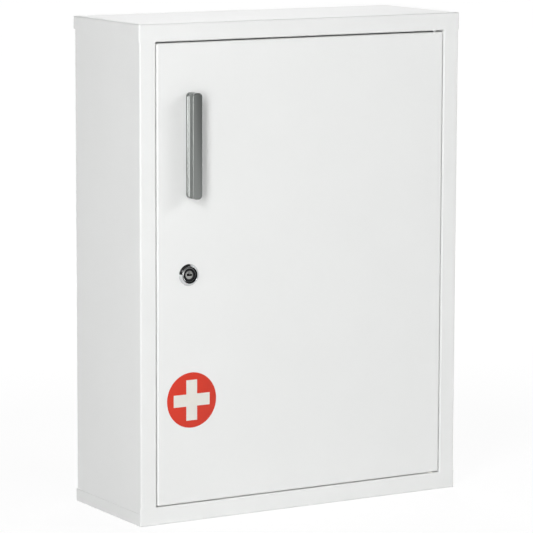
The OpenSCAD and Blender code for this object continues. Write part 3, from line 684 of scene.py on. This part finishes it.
def lock_flange(lock, chrome):
    """Turns the flange, with a rim, a cone and a lip round its recess, and the threaded barrel behind it."""
    radius = (LOCK_HIGH.x - LOCK_LOW.x) / 2
    lip, root = lock.recess + lock.lip, BARREL_RADIUS - lock.thread
    turn = math.degrees(math.atan2(lock.collar - lock.rim, radius - lip))
    rim_edge = arc(radius - RIM_EDGE, lock.rim - RIM_DROP, RIM_EDGE, 0, 90 - turn, parts=4)
    lip_edge = arc(lip - LIP_EDGE, FLANGE_TOP - LIP_EDGE, LIP_EDGE, 0, 90, parts=4)
    thread = threads(BARREL_RADIUS, lock.thread, lock.pitch, BARREL_END + BARREL_EDGE, THREAD_START)
    outline = [(radius, LIP_EDGE), *rim_edge, (lip + FINE_EDGE, lock.collar - CONE_DROP),
               (lip, lock.collar + FINE_EDGE), *lip_edge, (lock.recess + FINE_EDGE, FLANGE_TOP),
               (lock.recess, FLANGE_TOP - FINE_EDGE), (lock.recess, lock.seat), (lock.bore, lock.seat),
               (lock.bore, BARREL_END + BARREL_EDGE), (lock.bore + BARREL_EDGE, BARREL_END),
               (root - SHANK_EDGE, BARREL_END), *reversed(thread), (root, 0), (radius - LIP_EDGE, 0)]
    housing = turned("lock_flange", outline)
    barrel_flats(housing, radius)
    place_copies(housing, [LOCK_AXIS])
    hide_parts("lock_housing")
    finish_piece(housing, "door", chrome)


def lock_plug(lock, black, nickel):
    """Turns the plug, whose face has a boss, a groove, a land and a bright slope, and adds its tenon."""
    plug_low, plug_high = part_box("lock_plug")
    face, tenon_end = DOOR_FRONT - plug_low.y, DOOR_FRONT - plug_high.y
    edge, shank, seat = lock.recess - PLAY, lock.bore - PLAY, lock.seat + PLAY
    sunk, bottom = face - STEP, face - CORE_DEPTH
    outline = [(CORE_RADIUS, face - FINE_EDGE), (CORE_RADIUS + FINE_EDGE, face), (BOSS, face),
               (GROOVE[0], sunk), (GROOVE[1], sunk), (LAND[0], face), (LAND[1], face), (SLOPE, sunk),
               (edge - SHANK_EDGE, sunk), (edge, sunk - SHANK_EDGE), (edge, seat), (shank, seat),
               (shank, BARREL_END + SHANK_EDGE), (shank - SHANK_EDGE, BARREL_END), (0, BARREL_END),
               (0, bottom), (CORE_RADIUS, bottom)]
    plug = turned("lock_plug_body", outline)
    tenon = start_piece("tenon_tool", bpy.ops.mesh.primitive_cube_add, size=1,
                        location=(0, -(tenon_end + BARREL_END + MM) / 2, 0),
                        scale=(TENON, BARREL_END + MM - tenon_end, TENON))
    bpy.ops.object.mode_set(mode="EDIT")
    bpy.ops.mesh.select_all(action="SELECT")
    bpy.ops.mesh.bevel(offset=BARREL_EDGE, segments=2)
    bpy.ops.object.mode_set(mode="OBJECT")
    cut(plug, tenon, "UNION")
    place_copies(plug, [LOCK_AXIS])
    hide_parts("lock_plug")
    finish_piece(plug, "lock_cylinder", black)
    paint_faces(plug, nickel, lambda face: face.normal.y < 0 and LAND[1] < from_axis(face) < SLOPE)


def lock_core(lock, nickel, black):
    """Turns the core, a domed disc with a round rim, and cuts its stepped keyway, whose walls are painted
    near black as painted shade.
    """
    core_low, core_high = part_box("lock_core")
    top, end = DOOR_FRONT - core_low.y, DOOR_FRONT - core_high.y
    radius = (core_high.x - core_low.x) / 2
    flat = radius - BARREL_EDGE
    dome = (radius ** 2 + lock.dome ** 2) / (2 * lock.dome)
    tilt = math.degrees(math.asin(flat / dome))
    crown = arc(0, top - dome, dome, 90, 90 - tilt, parts=DOME_PARTS)
    rim = arc(flat, crown[-1][1] - BARREL_EDGE, BARREL_EDGE, 0, 90 - tilt, parts=3)
    outline = [(0, top), *crown[1:], *reversed(rim), (radius, end), (0, end)]
    core = turned("lock_core_disc", outline, closed=False)

    # The keyway starts as a flat slot, a third of which is drawn up to a step
    wide, thin = KEYWAY
    slot = start_piece("keyway_tool", bpy.ops.mesh.primitive_cube_add, size=1,
                       location=(0, -(top + end) / 2, 0), scale=(wide, 4 * top, thin))
    select_faces(slot, lambda face: face.normal.z > FACING)
    bpy.ops.mesh.bisect(plane_co=(-wide / 6, 0, 0), plane_no=(1, 0, 0))
    select_faces(slot, lambda face: face.normal.z > FACING and face.center.x < -wide / 6)
    bpy.ops.mesh.extrude_region_move(TRANSFORM_OT_translate={"value": (0, 0, thin / 2)})
    bpy.ops.object.mode_set(mode="OBJECT")
    cut(core, slot)
    place_copies(core, [LOCK_AXIS])
    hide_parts("lock_core")
    finish_piece(core, "lock_cylinder", nickel)
    # The walls of the keyway take the plug's near black: painted shade inside the slot
    paint_faces(core, black, lambda face: abs(face.normal.y) < 0.5
                and from_axis(face) < radius - 2 * BARREL_EDGE)


class CABINET_OT_lock(bpy.types.Operator):
    """Models the cam lock: the flange with its barrel, the plug with its face, and the keyed core"""
    bl_idname = "cabinet.lock"
    bl_label = "Lock"

    def execute(self, context):
        lock = context.scene.cabinet_lock
        chrome, black, nickel = chrome_plate(), black_plug_and_keyway_shade(), worn_nickel()
        lock_flange(lock, chrome)
        lock_plug(lock, black, nickel)
        lock_core(lock, nickel, black)
        return {"FINISHED"}


def screw(name, head, head_height, shank, reach):
    """A pan-head screw with a cross recess, on the Y axis: its seat at zero, its shank towards the user."""
    crown = HEAD_FLATNESS * (head ** 2 / 4 + head_height ** 2) / (2 * head_height)
    last = math.asin(head / 2 / crown)
    fall = (1 - HEAD_RIM) * head_height / (1 - math.cos(last))
    turns = [last * i / DOME_PARTS for i in range(DOME_PARTS + 1)]
    dome = [(crown * math.sin(t), fall * (1 - math.cos(t)) - head_height) for t in turns]
    thread = threads(shank / 2, SCREW_THREAD * shank, SCREW_PITCH, SCREW_NECK, reach - SCREW_TIP)
    outline = [*dome, (head / 2, 0), (shank / 2, 0), (shank / 2, SCREW_NECK), *reversed(thread),
               (SCREW_POINT * shank, reach), (0, reach)]
    piece = turned(name, outline, closed=False, steps=48)

    # The recess is cut by a cross that stands out by a millimetre: the sides of a middle square are drawn out
    # to its arms, and its bottom is narrowed
    arm, depth = RECESS_ARM * head, RECESS_DEPTH * head_height
    tool = start_piece("recess_tool", bpy.ops.mesh.primitive_cube_add, size=2 * arm,
                       location=(0, head_height - depth / 2 + MM / 2, 0),
                       scale=(1, (depth + MM) / (2 * arm), 1))
    for way in FOUR_WAYS:
        select_faces(tool, lambda face: face.normal.dot(way) > FACING and face.center.cross(way).length
                     < head_height and abs(face.center.dot(way)) < 1.5 * arm)
        bpy.ops.mesh.extrude_region_move(TRANSFORM_OT_translate={"value": way * RECESS_REACH * head})
    select_faces(tool, lambda face: face.normal.y < -FACING)
    bpy.ops.transform.resize(value=(RECESS_TAPER, 1, RECESS_TAPER))
    bpy.ops.object.mode_set(mode="OBJECT")
    cut(piece, tool)
    return piece


class CABINET_OT_fasteners(bpy.types.Operator):
    """Models the screws with their cross recesses, and the chamfered nut of the lock"""
    bl_idname = "cabinet.fasteners"
    bl_label = "Screws and nut"

    def execute(self, context):
        zinc = zinc_plate()

        # Two screws of the pull, whose heads lie inside the door
        low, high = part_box("handle_screws")
        height, shank = PULL_SCREW
        head, seat = high.x - low.x, high.y - height
        pair = screw("pull_screws", head, height, shank, seat - low.y)
        ends = (low.z + head / 2, high.z - head / 2)
        place_copies(pair, [Vector(((low.x + high.x) / 2, seat, z)) for z in ends])
        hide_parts("handle_screws")
        finish_piece(pair, "door", zinc)

        # Two screws that hold the catch from below
        low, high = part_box("catch_screws")
        height, shank = CATCH_SCREW
        head, seat = high.y - low.y, low.z + height
        pair = screw("catch_screw_pair", head, height, shank, high.z - seat)
        ends = (low.x + head / 2, high.x - head / 2)
        place_copies(pair, [Vector((x, (low.y + high.y) / 2, seat)) for x in ends],
                     turn=(-math.pi / 2, 0, 0))
        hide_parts("catch_screws")
        finish_piece(pair, "cabinet", zinc)

        # Screw that holds the cam on the plug
        low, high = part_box("cam_screw")
        height, shank = CAM_SCREW
        head, seat = high.x - low.x, high.y - height
        single = screw("cam_screw_turned", head, height, shank, seat - low.y)
        place_copies(single, [Vector((LOCK_AXIS.x, seat, LOCK_AXIS.z))])
        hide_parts("cam_screw")
        finish_piece(single, "lock_cylinder", zinc)

        # Nut: a hexagon whose corners are turned off on both faces
        low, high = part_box("lock_nut")
        thick, corner = high.y - low.y, (high.x - low.x) / 2
        flat, bore = NUT_FACE * (corner * math.cos(math.pi / 6)), BARREL_RADIUS + PLAY
        mouth, outside = bore + NUT_EDGE, corner + NUT_EDGE
        outline = [(mouth, 0), (flat, 0), (outside, -NUT_CORNER), (outside, NUT_CORNER - thick),
                   (flat, -thick), (mouth, -thick), (bore, NUT_EDGE - thick), (bore, -NUT_EDGE)]
        nut = turned("hexagon_nut", outline)
        cut(nut, start_piece("hexagon_tool", bpy.ops.mesh.primitive_cylinder_add, vertices=6, radius=corner,
                             depth=4 * thick, rotation=(math.pi / 2, math.pi / 6, 0)), "INTERSECT")
        place_copies(nut, [Vector((LOCK_AXIS.x, low.y, LOCK_AXIS.z))])
        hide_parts("lock_nut")
        finish_piece(nut, "door", zinc)
        return {"FINISHED"}


class CABINET_OT_label(bpy.types.Operator):
    """Lays the round label with its cross on the door"""
    bl_idname = "cabinet.label"
    bl_label = "Label"

    def execute(self, context):
        label = context.scene.cabinet_label
        finish = context.scene.cabinet_finish
        centre = Vector((CAD_BOX[0].x + label.from_side, DOOR_FRONT - label.film / 2, label.height))
        disc = start_piece("label_disc", bpy.ops.mesh.primitive_cylinder_add, vertices=128,
                           radius=label.diameter / 2, depth=label.film, location=centre,
                           rotation=(math.pi / 2, 0, 0))
        apply_modifier(disc, "BEVEL", width=label.film / 3, segments=2)
        finish_piece(disc, "door", printed_vinyl("Red_vinyl_film", finish.red))

        # The cross starts as its middle square, whose four sides are drawn out to the arms
        ink = label.film / 3
        middle = Vector((centre.x, DOOR_FRONT - label.film - ink / 2, centre.z))
        cross = start_piece("label_cross", bpy.ops.mesh.primitive_cube_add, size=label.arm_width,
                            location=middle, scale=(1, ink / label.arm_width, 1))
        reach = (label.arm_span - label.arm_width) / 2
        for way in FOUR_WAYS:
            select_faces(cross, lambda face: face.normal.dot(way) > FACING
                         and (face.center - middle).cross(way).length < ink)
            bpy.ops.mesh.extrude_region_move(TRANSFORM_OT_translate={"value": way * reach})
        finish_piece(cross, "door", printed_vinyl("White_vinyl_film", finish.white))
        return {"FINISHED"}


def around(azimuth, distance, height):
    """A place round the cabinet: azimuth in degrees to the right of its front, distance and height."""
    turn = math.radians(azimuth)
    return Vector((distance * math.sin(turn), -distance * math.cos(turn), height))


def seen_rays(tree):
    """One for what the camera sees, in metal or through glass too, and zero for what lights surfaces."""
    rays = node(tree, "ShaderNodeLightPath").outputs
    mirrored = node(tree, "ShaderNodeMath", {0: rays["Is Glossy Ray"], 1: rays["Is Transmission Ray"]},
                    operation="MAXIMUM")
    seen = node(tree, "ShaderNodeMath", {0: rays["Is Camera Ray"], 1: mirrored.outputs["Value"]},
                operation="MAXIMUM")
    return seen.outputs["Value"]


def add_floor(studio):
    """A floor of white paper. The camera sees it glow, with painted shade that lowers the glow a little near
    the cabinet, under a soft shadow;
    metal sees it end on the right; and it lights the cabinet as plain paper does."""
    deselect()
    bpy.ops.mesh.primitive_plane_add(size=FLOOR_SIZE, location=(0, 0, -FLOOR_DROP))
    floor = bpy.context.object
    floor.name = "studio_floor"
    bpy.ops.object.transform_apply(location=True)
    paper = bpy.data.materials.new("Matt_white_paper")
    paper.use_nodes = True
    tree = paper.node_tree
    tree.nodes.clear()
    seen = seen_rays(tree)
    plain = node(tree, "ShaderNodeBsdfDiffuse", {"Color": linear("#EEEEEE")})
    glow = node(tree, "ShaderNodeEmission", {"Color": linear("#FFFFFF"), "Strength": studio.bounce})
    soft = node(tree, "ShaderNodeAddShader", {0: plain.outputs["BSDF"], 1: glow.outputs["Emission"]})
    place = node(tree, "ShaderNodeTexCoord").outputs["Object"]
    away = node(tree, "ShaderNodeVectorMath", {0: place}, operation="LENGTH")
    # The glow is painted lower within 1.5 m of the cabinet: painted shade round it
    level = node(tree, "ShaderNodeMapRange", {"Value": away.outputs["Value"], "From Min": 0.5,
                                              "From Max": 1.5, "To Min": 0.91, "To Max": 1.0})
    axes = node(tree, "ShaderNodeSeparateXYZ", {0: place})
    fade = node(tree, "ShaderNodeMapRange", {"Value": axes.outputs["X"], "From Min": 1.35, "From Max": 2.0,
                                             "To Min": 1.0, "To Max": 0.4})
    glossy = node(tree, "ShaderNodeLightPath").outputs["Is Glossy Ray"]
    paper_end = node(tree, "ShaderNodeMix", {0: glossy, 2: 1.0, 3: fade.outputs["Result"]},
                     data_type="FLOAT")
    strength = node(tree, "ShaderNodeMath", {0: level.outputs["Result"], 1: paper_end.outputs[0]},
                    operation="MULTIPLY")
    white = node(tree, "ShaderNodeEmission", {"Color": linear("#FFFFFF"),
                                              "Strength": strength.outputs["Value"]})
    faint = node(tree, "ShaderNodeBsdfDiffuse", {"Color": linear("#626262")})
    lit = node(tree, "ShaderNodeAddShader", {0: white.outputs["Emission"], 1: faint.outputs["BSDF"]})
    both = node(tree, "ShaderNodeMixShader", {0: seen, 1: soft.outputs["Shader"],
                                              2: lit.outputs["Shader"]})
    node(tree, "ShaderNodeOutputMaterial", {"Surface": both.outputs["Shader"]})
    floor.data.materials.append(paper)


def add_lamp(name, power, size, place):
    """A soft rectangular lamp that faces the cabinet."""
    deselect()
    turn = (AIM - place).to_track_quat("-Z", "Y").to_euler()
    bpy.ops.object.light_add(type="AREA", location=place, rotation=turn)
    lamp = bpy.context.object
    lamp.name = name
    lamp.data.energy = power
    lamp.data.shape = "RECTANGLE"
    lamp.data.size, lamp.data.size_y = size


def light_room(scene, studio):
    """A backdrop that is white for the camera. Metal sees it behind the cabinet and the dim room elsewhere,
    and only the dim room lights surfaces."""
    room = bpy.data.worlds.new("Studio room")
    scene.world = room
    room.use_nodes = True
    tree = room.node_tree
    tree.nodes.clear()
    direction = node(tree, "ShaderNodeTexCoord").outputs["Generated"]
    axes = node(tree, "ShaderNodeSeparateXYZ", {0: direction})
    level = node(tree, "ShaderNodeMapRange", {"Value": axes.outputs["Y"], "From Min": -0.5,
                                              "From Max": 0.3, "To Min": studio.surround,
                                              "To Max": studio.backdrop})
    screen = node(tree, "ShaderNodeMapRange", {"Value": axes.outputs["Y"], "From Min": 0.3,
                                               "From Max": 0.6, "To Min": studio.surround, "To Max": 1.0})
    camera = node(tree, "ShaderNodeLightPath").outputs["Is Camera Ray"]
    metal = node(tree, "ShaderNodeMath", {0: screen.outputs["Result"], 1: camera}, operation="MAXIMUM")
    strength = node(tree, "ShaderNodeMix", {0: seen_rays(tree), 2: level.outputs["Result"],
                                            3: metal.outputs["Value"]}, data_type="FLOAT")
    light = node(tree, "ShaderNodeBackground", {"Color": linear("#FFFFFF"), "Strength": strength.outputs[0]})
    node(tree, "ShaderNodeOutputWorld", {"Surface": light.outputs["Background"]})


def add_camera(scene, studio):
    """The camera of the photograph, fitted to the cabinet's corners."""
    deselect()
    bpy.ops.object.camera_add(location=CAMERA_PLACE)
    camera = bpy.context.object
    camera.name = "Photograph camera"
    turn = (Matrix.Rotation(-CAMERA_YAW, 3, "Z") @ Matrix.Rotation(math.pi / 2 - CAMERA_PITCH, 3, "X")
            @ Matrix.Rotation(CAMERA_ROLL, 3, "Z"))
    camera.rotation_euler = turn.to_euler()
    camera.data.lens = studio.lens
    camera.data.sensor_width = SENSOR_WIDTH
    scene.camera = camera


class CABINET_OT_studio(bpy.types.Operator):
    """Sets up the floor, the lamps, the room and the camera"""
    bl_idname = "cabinet.studio"
    bl_label = "Studio"

    def execute(self, context):
        studio = context.scene.cabinet_studio
        add_floor(studio)
        for name, (setting, size, place) in LAMPS.items():
            add_lamp(name, getattr(studio, setting), size, around(*place))
        light_room(context.scene, studio)
        add_camera(context.scene, studio)
        context.scene.view_settings.view_transform = "Standard"
        return {"FINISHED"}


class CABINET_PT_panel(bpy.types.Panel):
    """Lists the cabinet's pieces and their settings"""
    bl_label = "Medicine cabinet"
    bl_space_type = "VIEW_3D"
    bl_region_type = "UI"
    bl_category = "Cabinet"

    def draw(self, context):
        for group in GROUPS:
            settings = getattr(context.scene, group)
            box = self.layout.box()
            for name in settings.__annotations__:
                box.prop(settings, name)
        for operator in OPERATORS:
            self.layout.operator(operator.bl_idname)


OPERATORS = (CABINET_OT_sheet_metal, CABINET_OT_hardware, CABINET_OT_pull, CABINET_OT_lock,
             CABINET_OT_fasteners, CABINET_OT_label, CABINET_OT_studio)
GROUPS = {"cabinet_finish": FinishSettings, "cabinet_pull": PullSettings, "cabinet_lock": LockSettings,
          "cabinet_label": LabelSettings, "cabinet_studio": StudioSettings}
CLASSES = (*GROUPS.values(), *OPERATORS, CABINET_PT_panel)


def register():
    for cls in CLASSES:
        bpy.utils.register_class(cls)
    for name, group in GROUPS.items():
        setattr(bpy.types.Scene, name, PointerProperty(type=group))


def unregister():
    for name in GROUPS:
        delattr(bpy.types.Scene, name)
    for cls in reversed(CLASSES):
        bpy.utils.unregister_class(cls)


def main():
    register()
    bpy.ops.cabinet.sheet_metal()
    bpy.ops.cabinet.hardware()
    bpy.ops.cabinet.pull()
    bpy.ops.cabinet.lock()
    bpy.ops.cabinet.fasteners()
    bpy.ops.cabinet.label()
    bpy.ops.cabinet.studio()


if __name__ == "__main__":
    main()
